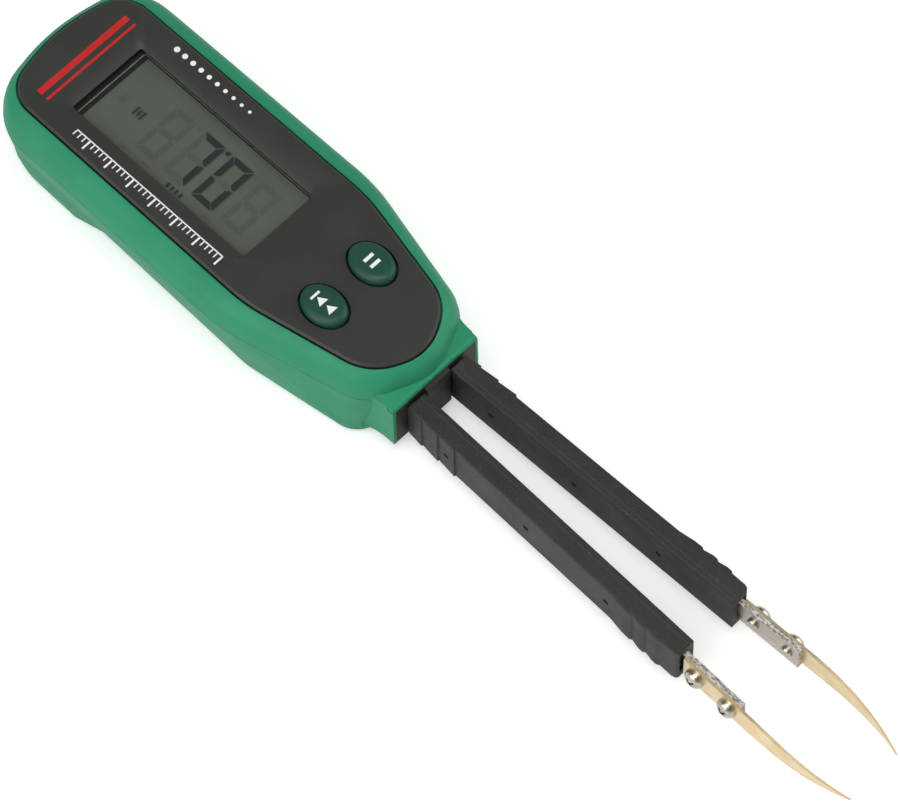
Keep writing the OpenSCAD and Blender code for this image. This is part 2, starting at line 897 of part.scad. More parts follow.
top_shell();
bottom_shell();
front_panel();
lcd_window();
lcd_glass();
lcd_frame();
contact_rubbers();
circuit_board();
main_chip();
board_parts();
switch_bodies();
mode_key();
mode_plunger();
hold_key();
hold_plunger();
coin_cell_can();
coin_cell_cap();
cell_plus_contact();
cell_minus_contact();
battery_door();
case_screws();
arm_holder();
lead_wires();
left_arm_cover();
left_arm_lining();
left_leaf_spring();
left_tip_plate();
left_tip_blade();
left_tip_screws();
right_arm_cover();
right_arm_lining();
right_leaf_spring();
right_tip_plate();
right_tip_blade();
right_tip_screws();
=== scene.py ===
"""Looks of the tweezer component tester: materials, display segments, printed marks, light and camera."""

import math

import bmesh
import bpy
from mathutils import Matrix, Vector


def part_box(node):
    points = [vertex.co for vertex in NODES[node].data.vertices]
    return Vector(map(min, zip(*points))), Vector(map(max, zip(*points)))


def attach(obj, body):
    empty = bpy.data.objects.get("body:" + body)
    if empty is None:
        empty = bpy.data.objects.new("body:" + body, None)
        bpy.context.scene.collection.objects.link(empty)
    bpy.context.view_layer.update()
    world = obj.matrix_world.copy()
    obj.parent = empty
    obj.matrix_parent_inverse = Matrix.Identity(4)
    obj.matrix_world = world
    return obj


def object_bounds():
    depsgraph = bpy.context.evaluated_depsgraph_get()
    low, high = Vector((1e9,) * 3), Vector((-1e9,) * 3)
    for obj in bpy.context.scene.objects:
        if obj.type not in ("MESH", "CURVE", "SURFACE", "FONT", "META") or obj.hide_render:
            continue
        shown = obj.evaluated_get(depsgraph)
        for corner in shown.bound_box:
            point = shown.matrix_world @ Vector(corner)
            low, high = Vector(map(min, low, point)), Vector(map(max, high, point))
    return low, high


MM = 0.001
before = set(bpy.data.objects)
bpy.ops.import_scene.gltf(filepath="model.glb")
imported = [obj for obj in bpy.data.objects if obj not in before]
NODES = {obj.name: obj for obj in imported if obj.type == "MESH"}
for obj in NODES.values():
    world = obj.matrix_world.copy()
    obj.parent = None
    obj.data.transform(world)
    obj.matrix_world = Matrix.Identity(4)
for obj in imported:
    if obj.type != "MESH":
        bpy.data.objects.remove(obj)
CAD_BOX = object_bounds()


# ---------------------------------------------------------------- node helpers


class Look:
    """A Principled material with helpers that wire procedural texture into it."""

    def __init__(self, name, color, rough, metal=0.0, specular=0.5):
        self.mat = bpy.data.materials.new(name)
        self.mat.use_nodes = True
        self.tree = self.mat.node_tree
        self.tree.nodes.clear()
        self.out = self.add("ShaderNodeOutputMaterial")
        self.bsdf = self.add("ShaderNodeBsdfPrincipled")
        self.link(self.bsdf.outputs[0], self.out.inputs[0])
        self.set("Base Color", (*color, 1.0))
        self.set("Roughness", rough)
        self.set("Metallic", metal)
        self.set("Specular IOR Level", specular)
        self.coords = self.add("ShaderNodeTexCoord").outputs["Object"]
        self.normal = None

    def add(self, kind, **values):
        node = self.tree.nodes.new(kind)
        for key, value in values.items():
            setattr(node, key, value)
        return node

    def link(self, a, b):
        self.tree.links.new(a, b)

    def set(self, socket, value):
        self.bsdf.inputs[socket].default_value = value

    def noise(self, size_mm, detail=3.0, stretch=(1, 1, 1), rough=0.5):
        """Noise whose features are about size_mm across; stretch lengthens them along an axis."""
        place = self.add("ShaderNodeMapping")
        place.inputs["Scale"].default_value = [1 / (size_mm * MM * s) for s in stretch]
        self.link(self.coords, place.inputs["Vector"])
        node = self.add("ShaderNodeTexNoise")
        node.inputs["Scale"].default_value = 1.0
        node.inputs["Detail"].default_value = detail
        node.inputs["Roughness"].default_value = rough
        self.link(place.outputs[0], node.inputs["Vector"])
        return node.outputs[0]

    def grain(self, size_mm):
        """Cell pattern like a spark-eroded mould surface."""
        place = self.add("ShaderNodeMapping")
        place.inputs["Scale"].default_value = [1 / (size_mm * MM)] * 3
        self.link(self.coords, place.inputs["Vector"])
        node = self.add("ShaderNodeTexVoronoi")
        node.inputs["Scale"].default_value = 1.0
        self.link(place.outputs[0], node.inputs["Vector"])
        return node.outputs["Distance"]

    def ramp(self, source, stops):
        """Maps source through stops, a list of (position, value or colour)."""
        node = self.add("ShaderNodeValToRGB")
        ends = node.color_ramp.elements
        while len(ends) < len(stops):
            ends.new(0.5)
        for end, (position, value) in zip(ends, stops):
            end.position = position
            end.color = (*value, 1.0) if isinstance(value, tuple) else (value,) * 3 + (1.0,)
        self.link(source, node.inputs[0])
        return node.outputs[0]

    def math(self, kind, a, b):
        node = self.add("ShaderNodeMath", operation=kind)
        for k, value in enumerate((a, b)):
            if isinstance(value, (int, float)):
                node.inputs[k].default_value = value
            else:
                self.link(value, node.inputs[k])
        return node.outputs[0]

    def mix(self, factor, a, b):
        """Blends two colours, or two colour outputs."""
        node = self.add("ShaderNodeMix", data_type="RGBA")
        if isinstance(factor, (int, float)):
            node.inputs[0].default_value = factor
        else:
            self.link(factor, node.inputs[0])
        for k, value in ((6, a), (7, b)):
            if isinstance(value, tuple):
                node.inputs[k].default_value = (*value, 1.0)
            else:
                self.link(value, node.inputs[k])
        return node.outputs[2]

    def round_edges(self, radius_mm):
        node = self.add("ShaderNodeBevel", samples=6)
        node.inputs["Radius"].default_value = radius_mm * MM
        self.normal = node.outputs[0]

    def edge_mask(self, radius_mm, full=0.80):
        """1 along convex and concave edges, 0 on flat faces."""
        node = self.add("ShaderNodeBevel", samples=8)
        node.inputs["Radius"].default_value = radius_mm * MM
        flat = self.add("ShaderNodeNewGeometry").outputs["Normal"]
        dot = self.add("ShaderNodeVectorMath", operation="DOT_PRODUCT")
        self.link(node.outputs[0], dot.inputs[0])
        self.link(flat, dot.inputs[1])
        return self.ramp(dot.outputs["Value"], [(full, 1.0), (0.985, 0.0)])

    def bump(self, height, strength, depth_mm):
        node = self.add("ShaderNodeBump")
        node.inputs["Strength"].default_value = strength
        node.inputs["Distance"].default_value = depth_mm * MM
        self.link(height, node.inputs["Height"])
        if self.normal is not None:
            self.link(self.normal, node.inputs["Normal"])
        self.normal = node.outputs[0]

    def done(self):
        if self.normal is not None:
            self.link(self.normal, self.bsdf.inputs["Normal"])
        return self.mat


DRIFT_MM, WEAR_SPOT_MM, SPECK_MM, RUB_MM, GLOSS_MM = 9.0, 1.7, 0.24, 0.30, 5.0
WEAR_COVER = RUB_COVER = 0.35


def plastic(
    name, color, rough, grain_mm, grain_depth, edge_mm, vary=0.10, wear=None, specular=0.5, speckle=0.0
):
    """Moulded plastic: eroded grain, slow colour drift, patchy gloss, and an optional wear tint.

    With speckle above 0, the wear tint also shows as fine specks and along rubbed edges.
    """
    k = Look(name, color, rough, specular=specular)
    drift = k.noise(DRIFT_MM, 2.0)
    low = tuple(c * (1 - vary) for c in color)
    high = tuple(min(1.0, c * (1 + vary)) for c in color)
    tint = k.ramp(drift, [(0.35, low), (0.65, high)])
    if wear is not None:
        spots = k.ramp(k.noise(WEAR_SPOT_MM, 4.0, rough=0.7), [(0.60, 0.0), (0.74, 1.0)])
        tint = k.mix(k.math("MULTIPLY", spots, WEAR_COVER), tint, wear)
    if speckle > 0:
        specks = k.ramp(k.noise(SPECK_MM, 2.0), [(0.48, 0.0), (0.72, 1.0)])
        rubbed = k.math("MULTIPLY", k.edge_mask(RUB_MM), RUB_COVER)
        cover = k.math("ADD", k.math("MULTIPLY", specks, speckle), rubbed)
        tint = k.mix(cover, tint, wear)
    k.link(tint, k.bsdf.inputs["Base Color"])
    gloss = k.ramp(k.noise(GLOSS_MM, 4.0, rough=0.6), [(0.3, rough - 0.05), (0.7, rough + 0.06)])
    k.link(gloss, k.bsdf.inputs["Roughness"])
    k.round_edges(edge_mm)
    k.bump(k.grain(grain_mm), 0.35, grain_depth)
    k.bump(k.noise(grain_mm * 2.2, 3.0), 0.25, grain_depth)
    return k.done()


def metal(name, color, rough, stretch, edge_mm, brush_depth=0.006, scuff=0.10, tarnish=None):
    """Metal with brushed grain along an axis, scuffs that dull it, and optional tarnish."""
    k = Look(name, color, rough, metal=1.0)
    brush = k.noise(0.16, 3.0, stretch)
    if tarnish is not None:
        spots = k.ramp(k.noise(1.3, 5.0, rough=0.65), [(0.45, 0.0), (0.75, 1.0)])
        k.link(k.mix(k.math("MULTIPLY", spots, 0.6), color, tarnish), k.bsdf.inputs["Base Color"])
    dull = k.noise(0.9, 5.0, rough=0.65)
    total = k.math("ADD", k.math("MULTIPLY", dull, scuff * 2), rough - scuff)
    k.link(total, k.bsdf.inputs["Roughness"])
    k.round_edges(edge_mm)
    k.bump(brush, 0.4, brush_depth)
    return k.done()


# ---------------------------------------------------------------- materials

GREEN, PALE_GREEN = (0.022, 0.255, 0.128), (0.04, 0.30, 0.16)
SHELL = plastic("shell_green", GREEN, 0.46, 0.22, 0.010, 0.25, 0.05, wear=PALE_GREEN, specular=0.26)
DOOR = plastic("door_green", GREEN, 0.48, 0.22, 0.010, 0.2, 0.05, wear=PALE_GREEN, specular=0.26)
PANEL = plastic("panel_black", (0.036, 0.037, 0.032), 0.42, 0.16, 0.008, 0.15, 0.07, specular=0.30)
FRAME = plastic("frame_black", (0.02, 0.02, 0.02), 0.45, 0.2, 0.01, 0.1)
KEY = plastic("key_green", (0.014, 0.070, 0.042), 0.38, 0.12, 0.004, 0.2, 0.07, specular=0.30)
ARM = plastic(
    "arm_black", (0.024, 0.024, 0.020), 0.50, 0.26, 0.045, 0.15, 0.14,
    wear=(0.080, 0.080, 0.070), specular=0.33, speckle=0.36,
)
HOLDER = plastic("holder_black", (0.030, 0.027, 0.024), 0.45, 0.2, 0.012, 0.15, 0.12, specular=0.30)
PLUNGER = plastic("plunger_black", (0.02, 0.02, 0.02), 0.4, 0.2, 0.01, 0.1)
CHIP = plastic("chip_black", (0.018, 0.018, 0.019), 0.55, 0.1, 0.01, 0.05)
BOARD = plastic("board_green", (0.010, 0.085, 0.032), 0.30, 0.5, 0.01, 0.05, 0.25, wear=(0.03, 0.16, 0.07))
PARTS = plastic("board_parts", (0.30, 0.19, 0.11), 0.45, 0.3, 0.01, 0.05, 0.2)
RUBBER = plastic("contact_rubber", (0.42, 0.33, 0.37), 0.7, 0.3, 0.02, 0.05)
WIRE = plastic("wire_red", (0.42, 0.02, 0.015), 0.35, 0.4, 0.01, 0.05)
STEEL = metal("spring_steel", (0.50, 0.48, 0.46), 0.34, (30, 1, 1), 0.05)
TIN = metal("switch_steel", (0.55, 0.54, 0.52), 0.36, (1, 8, 1), 0.05)
CELL = metal("cell_steel", (0.62, 0.61, 0.60), 0.26, (20, 1, 1), 0.08)
NICKEL = metal("contact_nickel", (0.60, 0.57, 0.52), 0.28, (12, 1, 1), 0.04)
SCREW = metal(
    "screw_steel", (0.60, 0.56, 0.50), 0.26, (1, 1, 1), 0.06, 0.004, 0.08, tarnish=(0.36, 0.32, 0.27)
)


def sheared_plate():
    """Nickel plate: smooth rolled faces and torn, glittering sheared edges."""
    k = Look("plate_nickel", (0.56, 0.51, 0.46), 0.30, metal=1.0)
    split = k.add("ShaderNodeSeparateXYZ")
    k.link(k.add("ShaderNodeTexCoord").outputs["Normal"], split.inputs[0])
    sideways = k.math("ABSOLUTE", split.outputs["Y"], 0)
    edge = k.ramp(sideways, [(0.35, 1.0), (0.75, 0.0)])
    torn = k.noise(0.32, 5.0, (2.4, 1, 1), 0.7)
    face = k.noise(0.5, 4.0, (6, 1, 1))
    glitter = k.mix(k.ramp(torn, [(0.42, 0.0), (0.62, 1.0)]), (0.26, 0.23, 0.19), (0.86, 0.82, 0.76))
    rolled = k.mix(k.ramp(face, [(0.3, 0.0), (0.7, 1.0)]), (0.50, 0.45, 0.40), (0.63, 0.58, 0.53))
    k.link(k.mix(edge, rolled, glitter), k.bsdf.inputs["Base Color"])
    face_rough = k.math("ADD", k.math("MULTIPLY", face, 0.2), 0.20)
    k.link(k.math("ADD", k.math("MULTIPLY", edge, 0.16), face_rough), k.bsdf.inputs["Roughness"])
    k.round_edges(0.08)
    k.bump(k.math("MULTIPLY", torn, edge), 1.0, 0.25)
    k.bump(face, 0.3, 0.01)
    return k.done()


def gold_blade():
    """Pale gold plate over steel: long rolling marks, small pits, and a painted dark reflection along the
    thin edges.
    """
    k = Look("blade_gold", (0.80, 0.64, 0.39), 0.34, metal=1.0)
    long = k.noise(0.22, 4.0, (9, 1, 1), 0.6)
    patch = k.noise(1.6, 4.0, (2, 1, 1), 0.6)
    plate = k.mix(k.ramp(patch, [(0.35, 0.0), (0.7, 1.0)]), (0.90, 0.76, 0.51), (0.78, 0.60, 0.33))
    # painted reflection: the thin edges are darkened to brown gold, standing in for what their narrow
    # faces reflect
    plate = k.mix(k.math("MULTIPLY", k.edge_mask(0.40), 0.85), plate, (0.42, 0.27, 0.11))
    pits = k.ramp(k.grain(0.55), [(0.05, 1.0), (0.16, 0.0)])
    rare = k.ramp(k.noise(1.1, 2.0), [(0.60, 0.0), (0.70, 1.0)])
    pitted = k.math("MULTIPLY", k.math("MULTIPLY", pits, rare), 0.7)
    k.link(k.mix(pitted, plate, (0.42, 0.29, 0.13)), k.bsdf.inputs["Base Color"])
    k.link(k.math("ADD", k.math("MULTIPLY", long, 0.22), 0.24), k.bsdf.inputs["Roughness"])
    k.round_edges(0.06)
    k.bump(long, 0.35, 0.012)
    return k.done()


def clear_window():
    """Clear plastic: see-through with a soft reflection that grows at grazing angles.

    Only outer faces reflect. Light goes straight through, so an inner face would turn it back too early.
    """
    k = Look("window_clear", (0.9, 0.95, 0.92), 0.08)
    glass = k.add("ShaderNodeBsdfTransparent")
    glass.inputs[0].default_value = (0.93, 0.95, 0.93, 1)
    shine = k.add("ShaderNodeBsdfGlossy")
    k.link(k.ramp(k.noise(3.0, 4.0), [(0.3, 0.10), (0.7, 0.16)]), shine.inputs["Roughness"])
    fresnel = k.add("ShaderNodeFresnel")
    fresnel.inputs["IOR"].default_value = 1.30
    both = k.add("ShaderNodeMixShader")
    inner_face = k.add("ShaderNodeNewGeometry").outputs["Backfacing"]
    outer_face = k.math("SUBTRACT", 1.0, inner_face)
    k.link(k.math("MULTIPLY", fresnel.outputs[0], outer_face), both.inputs[0])
    k.link(glass.outputs[0], both.inputs[1])
    k.link(shine.outputs[0], both.inputs[2])
    k.link(both.outputs[0], k.out.inputs[0])
    return k.mat


def lcd_film():
    """The display's grey-green film: cloudy tone, patchy gloss and a faint ripple."""
    k = Look("lcd_glass", (0.127, 0.135, 0.120), 0.42, specular=0.35)
    cloud = k.noise(9.0, 3.0)
    tint = k.ramp(cloud, [(0.3, (0.119, 0.127, 0.111)), (0.7, (0.135, 0.144, 0.128))])
    k.link(tint, k.bsdf.inputs["Base Color"])
    k.link(k.ramp(k.noise(0.8, 3.0), [(0.3, 0.36), (0.7, 0.5)]), k.bsdf.inputs["Roughness"])
    k.bump(k.noise(1.2, 2.0), 0.08, 0.004)
    return k.done()


def ink(name, color, rough=0.5, vary=0.06):
    """Printing ink with slightly uneven cover, also used for the display's segments and its painted shade
    and highlights.
    """
    k = Look(name, color, rough)
    cover = k.noise(0.5, 4.0)
    low = tuple(c * (1 - vary) for c in color)
    k.link(k.ramp(cover, [(0.35, low), (0.6, color)]), k.bsdf.inputs["Base Color"])
    k.link(k.ramp(cover, [(0.3, rough - 0.06), (0.7, rough + 0.06)]), k.bsdf.inputs["Roughness"])
    k.bump(cover, 0.2, 0.006)
    return k.done()


WHITE_INK = ink("white_ink", (0.86, 0.87, 0.85))
RED_INK = ink("red_ink", (0.55, 0.014, 0.013), 0.45, 0.12)
SEGMENT_ON = ink("segment_on", (0.025, 0.030, 0.035), 0.4)
SEGMENT_OFF = ink("segment_off", (0.102, 0.110, 0.098), 0.42)
SEGMENT_SHADOW = ink("segment_shadow", (0.070, 0.076, 0.068), 0.42)
# painted shade: the dark sheet on the display's rear and far border
SHADE_INK = ink("shade_ink", (0.014, 0.014, 0.013), 0.4, 0.15)
# painted highlight: the pale strip along the edge of the window
HIGHLIGHT_INK = ink("highlight_ink", (0.24, 0.24, 0.22), 0.3, 0.3)

NODE_LOOKS = {
    "top_shell": SHELL,
    "bottom_shell": SHELL,
    "battery_door": DOOR,
    "front_panel": PANEL,
    "lcd_window": clear_window(),
    "lcd_glass": lcd_film(),
    "lcd_frame": FRAME,
    "contact_rubbers": RUBBER,
    "circuit_board": BOARD,
    "main_chip": CHIP,
    "board_parts": PARTS,
    "switch_bodies": TIN,
    "mode_key": KEY,
    "hold_key": KEY,
    "mode_plunger": PLUNGER,
    "hold_plunger": PLUNGER,
    "coin_cell_can": CELL,
    "coin_cell_cap": CELL,
    "cell_plus_contact": NICKEL,
    "cell_minus_contact": NICKEL,
    "case_screws": SCREW,
    "arm_holder": HOLDER,
    "lead_wires": WIRE,
}
ARM_LOOKS = {
    "arm_cover": ARM,
    "arm_lining": ARM,
    "leaf_spring": STEEL,
    "tip_plate": sheared_plate(),
    "tip_blade": gold_blade(),
    "tip_screws": SCREW,
}
for side in ("left", "right"):
    for part, look in ARM_LOOKS.items():
        NODE_LOOKS[f"{side}_{part}"] = look


# ---------------------------------------------------------------- smooth shading of the CAD nodes


def smooth_group(angle_deg):
    """Geometry nodes that shade a mesh smooth but keep edges sharper than angle_deg."""
    group = bpy.data.node_groups.new("smooth_by_angle", "GeometryNodeTree")
    group.interface.new_socket("Geometry", in_out="INPUT", socket_type="NodeSocketGeometry")
    group.interface.new_socket("Geometry", in_out="OUTPUT", socket_type="NodeSocketGeometry")
    start = group.nodes.new("NodeGroupInput")
    end = group.nodes.new("NodeGroupOutput")
    faces = group.nodes.new("GeometryNodeSetShadeSmooth")
    edges = group.nodes.new("GeometryNodeSetShadeSmooth")
    edges.domain = "EDGE"
    edges.inputs["Shade Smooth"].default_value = False
    angle = group.nodes.new("GeometryNodeInputMeshEdgeAngle")
    sharper = group.nodes.new("FunctionNodeCompare")
    sharper.operation = "GREATER_THAN"
    sharper.inputs[1].default_value = math.radians(angle_deg)
    group.links.new(angle.outputs["Unsigned Angle"], sharper.inputs[0])
    group.links.new(start.outputs[0], faces.inputs["Geometry"])
    group.links.new(faces.outputs[0], edges.inputs["Geometry"])
    group.links.new(sharper.outputs[0], edges.inputs["Selection"])
    group.links.new(edges.outputs[0], end.inputs[0])
    return group


SMOOTH = smooth_group(34)
ROUND_MM = 0.26
WELD = 0.002 * MM
# how near an arm piece's edge lies to its seam, rim or front end, and how tall an upright one is
ON_SEAM, ON_RIM, ON_END, TALL = 0.03 * MM, 0.05 * MM, 0.1 * MM, 5 * MM
SHARP_DOT = 0.6
FACE_WEIGHT = 80


def direction(spring):
    """Unit vector along an arm, from its leaf spring."""
    spots = [spring.matrix_world @ v.co for v in spring.data.vertices]
    split = (min(p.x for p in spots) + max(p.x for p in spots)) / 2
    ends = [[p for p in spots if (p.x > split) == front] for front in (False, True)]
    rear, front = (sum(end, Vector()) / len(end) for end in ends)
    return (front - rear).normalized()


def mark_outer_edges(obj, side, is_cover):
    """Gives bevel weight to an arm piece's long and front edges, but none where cover and lining meet."""
    mesh = obj.data
    spots = [obj.matrix_world @ v.co for v in mesh.vertices]
    along = direction(NODES[f"{side}_leaf_spring"])
    across = Vector((-along.y, along.x, 0)) * (1 if side == "left" else -1)
    out = [p.dot(across) for p in spots]
    reach = [p.dot(along) for p in spots]
    seam = min(out) if is_cover else max(out)
    front = max(reach)
    low, high = min(p.z for p in spots), max(p.z for p in spots)
    keys = [tuple(round(c / WELD) for c in p) for p in spots]
    walls = {}
    for face in mesh.polygons:
        for a, b in face.edge_keys:
            walls.setdefault(frozenset((keys[a], keys[b])), []).append(face.normal.copy())
    weights = mesh.attributes.new("bevel_weight_edge", "FLOAT", "EDGE")
    for edge in mesh.edges:
        a, b = edge.vertices
        normals = walls[frozenset((keys[a], keys[b]))]
        sharp = any(m.dot(n) < SHARP_DOT for m in normals for n in normals)
        on_seam = all(abs(out[v] - seam) < ON_SEAM for v in (a, b))
        rim = all(min(spots[v].z - low, high - spots[v].z) < ON_RIM for v in (a, b))
        upright = abs(spots[a].z - spots[b].z) > TALL
        end = all(front - reach[v] < ON_END for v in (a, b))
        if sharp and not on_seam and ((rim and not upright) or (upright and end)):
            weights.data[edge.index].value = 1.0


def drop_file_normals(mesh):
    """The file's normals are per face; without them, the mesh is shaded from its own shape."""
    for name in ("custom_normal", "sharp_face", "sharp_edge"):
        found = mesh.attributes.get(name)
        if found is not None:
            mesh.attributes.remove(found)


for name, obj in NODES.items():
    obj.data.materials.clear()
    obj.data.materials.append(NODE_LOOKS[name])
    drop_file_normals(obj.data)
    weld = obj.modifiers.new("weld", "WELD")
    weld.merge_threshold = WELD
    if name.endswith(("arm_cover", "arm_lining")):
        mark_outer_edges(obj, name.split("_")[0], name.endswith("cover"))
        bevel = obj.modifiers.new("round", "BEVEL")
        bevel.width = ROUND_MM * MM
        bevel.segments = 3
        bevel.limit_method = "WEIGHT"
        bevel.use_clamp_overlap = False
    obj.modifiers.new("smooth", "NODES").node_group = SMOOTH
    flat = obj.modifiers.new("flat_faces", "WEIGHTED_NORMAL")
    flat.keep_sharp = True
    flat.weight = FACE_WEIGHT


# ---------------------------------------------------------------- flat printed shapes and painted shade and highlights


def sheet(name, outlines, z, thick, look, body):
    """Thin flat shapes, printed or painted shade and highlight: each outline is a list of (x, y) in
    metres, raised from z by thick.
    """
    bm = bmesh.new()
    for outline in outlines:
        low = [bm.verts.new((x, y, z)) for x, y in outline]
        high = [bm.verts.new((x, y, z + thick)) for x, y in outline]
        n = len(outline)
        bm.faces.new(high)
        bm.faces.new(low[::-1])
        for i in range(n):
            j = (i + 1) % n
            bm.faces.new((low[i], low[j], high[j], high[i]))
    bmesh.ops.recalc_face_normals(bm, faces=bm.faces)
    bmesh.ops.triangulate(bm, faces=[f for f in bm.faces if len(f.verts) > 4])
    mesh = bpy.data.meshes.new(name)
    bm.to_mesh(mesh)
    bm.free()
    mesh.materials.append(look)
    obj = bpy.data.objects.new(name, mesh)
    bpy.context.scene.collection.objects.link(obj)
    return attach(obj, body)


def placed(outlines, centre, right, up):
    """Moves outlines drawn in millimetres (right, up) to the frame."""
    cx, cy = centre
    return [
        [(cx + (u * right[0] + v * up[0]) * MM, cy + (u * right[1] + v * up[1]) * MM) for u, v in o]
        for o in outlines
    ]


def bar(u, v, w, h):
    """A rectangle centred on (u, v)."""
    return [(u - w / 2, v - h / 2), (u + w / 2, v - h / 2), (u + w / 2, v + h / 2), (u - w / 2, v + h / 2)]


def disc(u, v, r, n=20):
    """A circle of n corners centred on (u, v)."""
    turns = [2 * math.pi * i / n for i in range(n)]
    return [(u + r * math.cos(t), v + r * math.sin(t)) for t in turns]


LOW_PANEL, HIGH_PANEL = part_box("front_panel")
GLASS_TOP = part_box("lcd_glass")[1].z
LOW_WINDOW, HIGH_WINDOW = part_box("lcd_window")
PANEL_TOP = HIGH_PANEL.z
INK = 0.015 * MM
WINDOW_RIM = 0.6 * MM


# ---------------------------------------------------------------- display

DIGIT_W, DIGIT_H, STROKE, NOTCH = 4.6, 9.7, 1.08, 0.14
PITCH, FIRST, DIGIT_V = 6.45, -13.2, 0.3
POINT_R, POINT_RISE = 0.42, 0.45
READING = ("", "abcdef", "def", "")
POINT_AFTER = 1


def digit_segments(u, v):
    """The seven segments of a digit centred on (u, v), named a to g."""
    w, h, s, g = DIGIT_W / 2, DIGIT_H / 2, STROKE, NOTCH
    top = [(-w + g, h), (w - g, h), (w - s - g, h - s), (-w + s + g, h - s)]
    middle_left = [(-w + s, -s / 2), (-w + s * 0.6, 0), (-w + s, s / 2)]
    middle = middle_left + [(-x, -y) for x, y in middle_left]
    upper = [(w, h - g), (w, g), (w - s * 0.5, g + 0.05), (w - s, s / 2 + g), (w - s, h - s - g)]
    named = {
        "a": top,
        "b": upper,
        "c": [(x, -y) for x, y in upper],
        "d": [(x, -y) for x, y in top],
        "e": [(-x, -y) for x, y in upper],
        "f": [(-x, y) for x, y in upper],
        "g": middle,
    }
    return {key: [(u + x, v + y) for x, y in outline] for key, outline in named.items()}


VIEW_SHIFT = 0.4 * MM
lcd_centre = ((LOW_WINDOW.x + HIGH_WINDOW.x) / 2 + VIEW_SHIFT, (LOW_WINDOW.y + HIGH_WINDOW.y) / 2)
LCD_RIGHT, LCD_UP = (-1, 0), (0, -1)
lit, dark = [], []
for index, shown in enumerate(READING):
    u = FIRST + PITCH * index
    for key, outline in digit_segments(u, DIGIT_V).items():
        (lit if key in shown else dark).append(outline)
    if index < len(READING) - 1:
        point = disc(u + PITCH / 2 + 0.05, DIGIT_V - DIGIT_H / 2 + POINT_RISE, POINT_R, 12)
        (lit if index == POINT_AFTER else dark).append(point)
# small marks: unit bars behind the number, and a row of marks at its upper edge
MARK_ROW_V = 6.5
lit += [bar(11.3 + i * 0.75, 0.6, 0.34, 1.7 - 0.3 * (i % 2)) for i in range(3)]
dark += [disc(15.7, 0.7, 0.75), bar(15.7, -0.35, 2.0, 0.3)]
lit_small = [bar(-3.6 + i * 0.95, MARK_ROW_V, 0.5, 0.9) for i in range(4)]
dark += [bar(u, MARK_ROW_V, 1.6, 0.5) for u in (-9.5, 4.5, 9.0)]
rim = Vector((WINDOW_RIM, WINDOW_RIM, 0))
low_open = LOW_WINDOW + rim
high_open = HIGH_WINDOW - rim


def strip(x0, y0, x1, y1):
    """A rectangle between two corners, in metres."""
    return [(x0, y0), (x1, y0), (x1, y1), (x0, y1)]


# painted shade: a dark border over the display at its rear and far side, where the walls of the recess
# shade it, and a painted highlight: the pale edge of the window above it
BORDER = 1.7 * MM
shade_strips = [
    strip(LOW_WINDOW.x, LOW_WINDOW.y, low_open.x + BORDER, HIGH_WINDOW.y),
    strip(low_open.x + BORDER, high_open.y - 0.15 * MM, HIGH_WINDOW.x, HIGH_WINDOW.y),
]
SHADE_THICK = 0.012 * MM
sheet("display_border_shade", shade_strips, GLASS_TOP, SHADE_THICK, SHADE_INK, "body")
edge_x = low_open.x + 0.82 * MM
# painted highlight strips along the rear and far edges of the window opening
window_highlight = [
    strip(low_open.x + 0.60 * MM, low_open.y, edge_x, high_open.y),
    strip(edge_x, high_open.y + 0.10 * MM, high_open.x, high_open.y + 0.24 * MM),
]
sheet("window_edge_highlight", window_highlight, GLASS_TOP + SHADE_THICK, 0.05 * MM, HIGHLIGHT_INK, "body")


def segments(name, outlines, centre, thick_mm, look):
    """Display segments on the glass, drawn in millimetres from centre."""
    sheet(name, placed(outlines, centre, LCD_RIGHT, LCD_UP), GLASS_TOP, thick_mm * MM, look, "body")


shadow_centre = (lcd_centre[0] + 0.22 * MM, lcd_centre[1] + 0.12 * MM)
segments("segments_off", dark, lcd_centre, 0.008, SEGMENT_OFF)
segments("segments_shadow", lit, shadow_centre, 0.012, SEGMENT_SHADOW)
segments("segments_on", lit + lit_small, lcd_centre, 0.020, SEGMENT_ON)


# ---------------------------------------------------------------- printed marks

side_y = (HIGH_WINDOW.y + HIGH_PANEL.y) / 2 + 0.35 * MM
RULER_MM, RULER_V, THIN = 33, -0.95, 0.22
ruler = [bar(0, RULER_V, RULER_MM + 0.2, THIN)]
for i in range(RULER_MM + 1):
    fifth = i % 5 == 0
    tall = 1.9 if fifth else 1.1
    ruler.append(bar(i - RULER_MM / 2, RULER_V + tall / 2, 0.34 if fifth else THIN, tall))
near_centre = (lcd_centre[0] + 0.6 * MM, -side_y)
sheet("ruler_print", placed(ruler, near_centre, LCD_RIGHT, LCD_UP), PANEL_TOP, INK, WHITE_INK, "body")

dots = [disc(-8.4 + i * 1.85, 0, 0.30 + 0.025 * i) for i in range(10)]
far_centre = (lcd_centre[0] - 7.0 * MM, side_y)
sheet("dot_print", placed(dots, far_centre, LCD_RIGHT, LCD_UP), PANEL_TOP, INK, WHITE_INK, "body")

RED_LENGTH = 19.6
red = [bar(0, 0.75, RED_LENGTH, 1.15), bar(0, -1.05, RED_LENGTH, 0.5)]
red_centre = (LOW_PANEL.x + 6.9 * MM, 0.0)
sheet("red_print", placed(red, red_centre, (0, 1), (-1, 0)), PANEL_TOP, INK, RED_INK, "body")


def key_print(key, outlines):
    """White marks on a key's top, drawn in millimetres from its centre."""
    low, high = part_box(key)
    centre = ((low.x + high.x) / 2, (low.y + high.y) / 2)
    sheet(f"{key}_print", placed(outlines, centre, LCD_RIGHT, LCD_UP), high.z, INK, WHITE_INK, key)


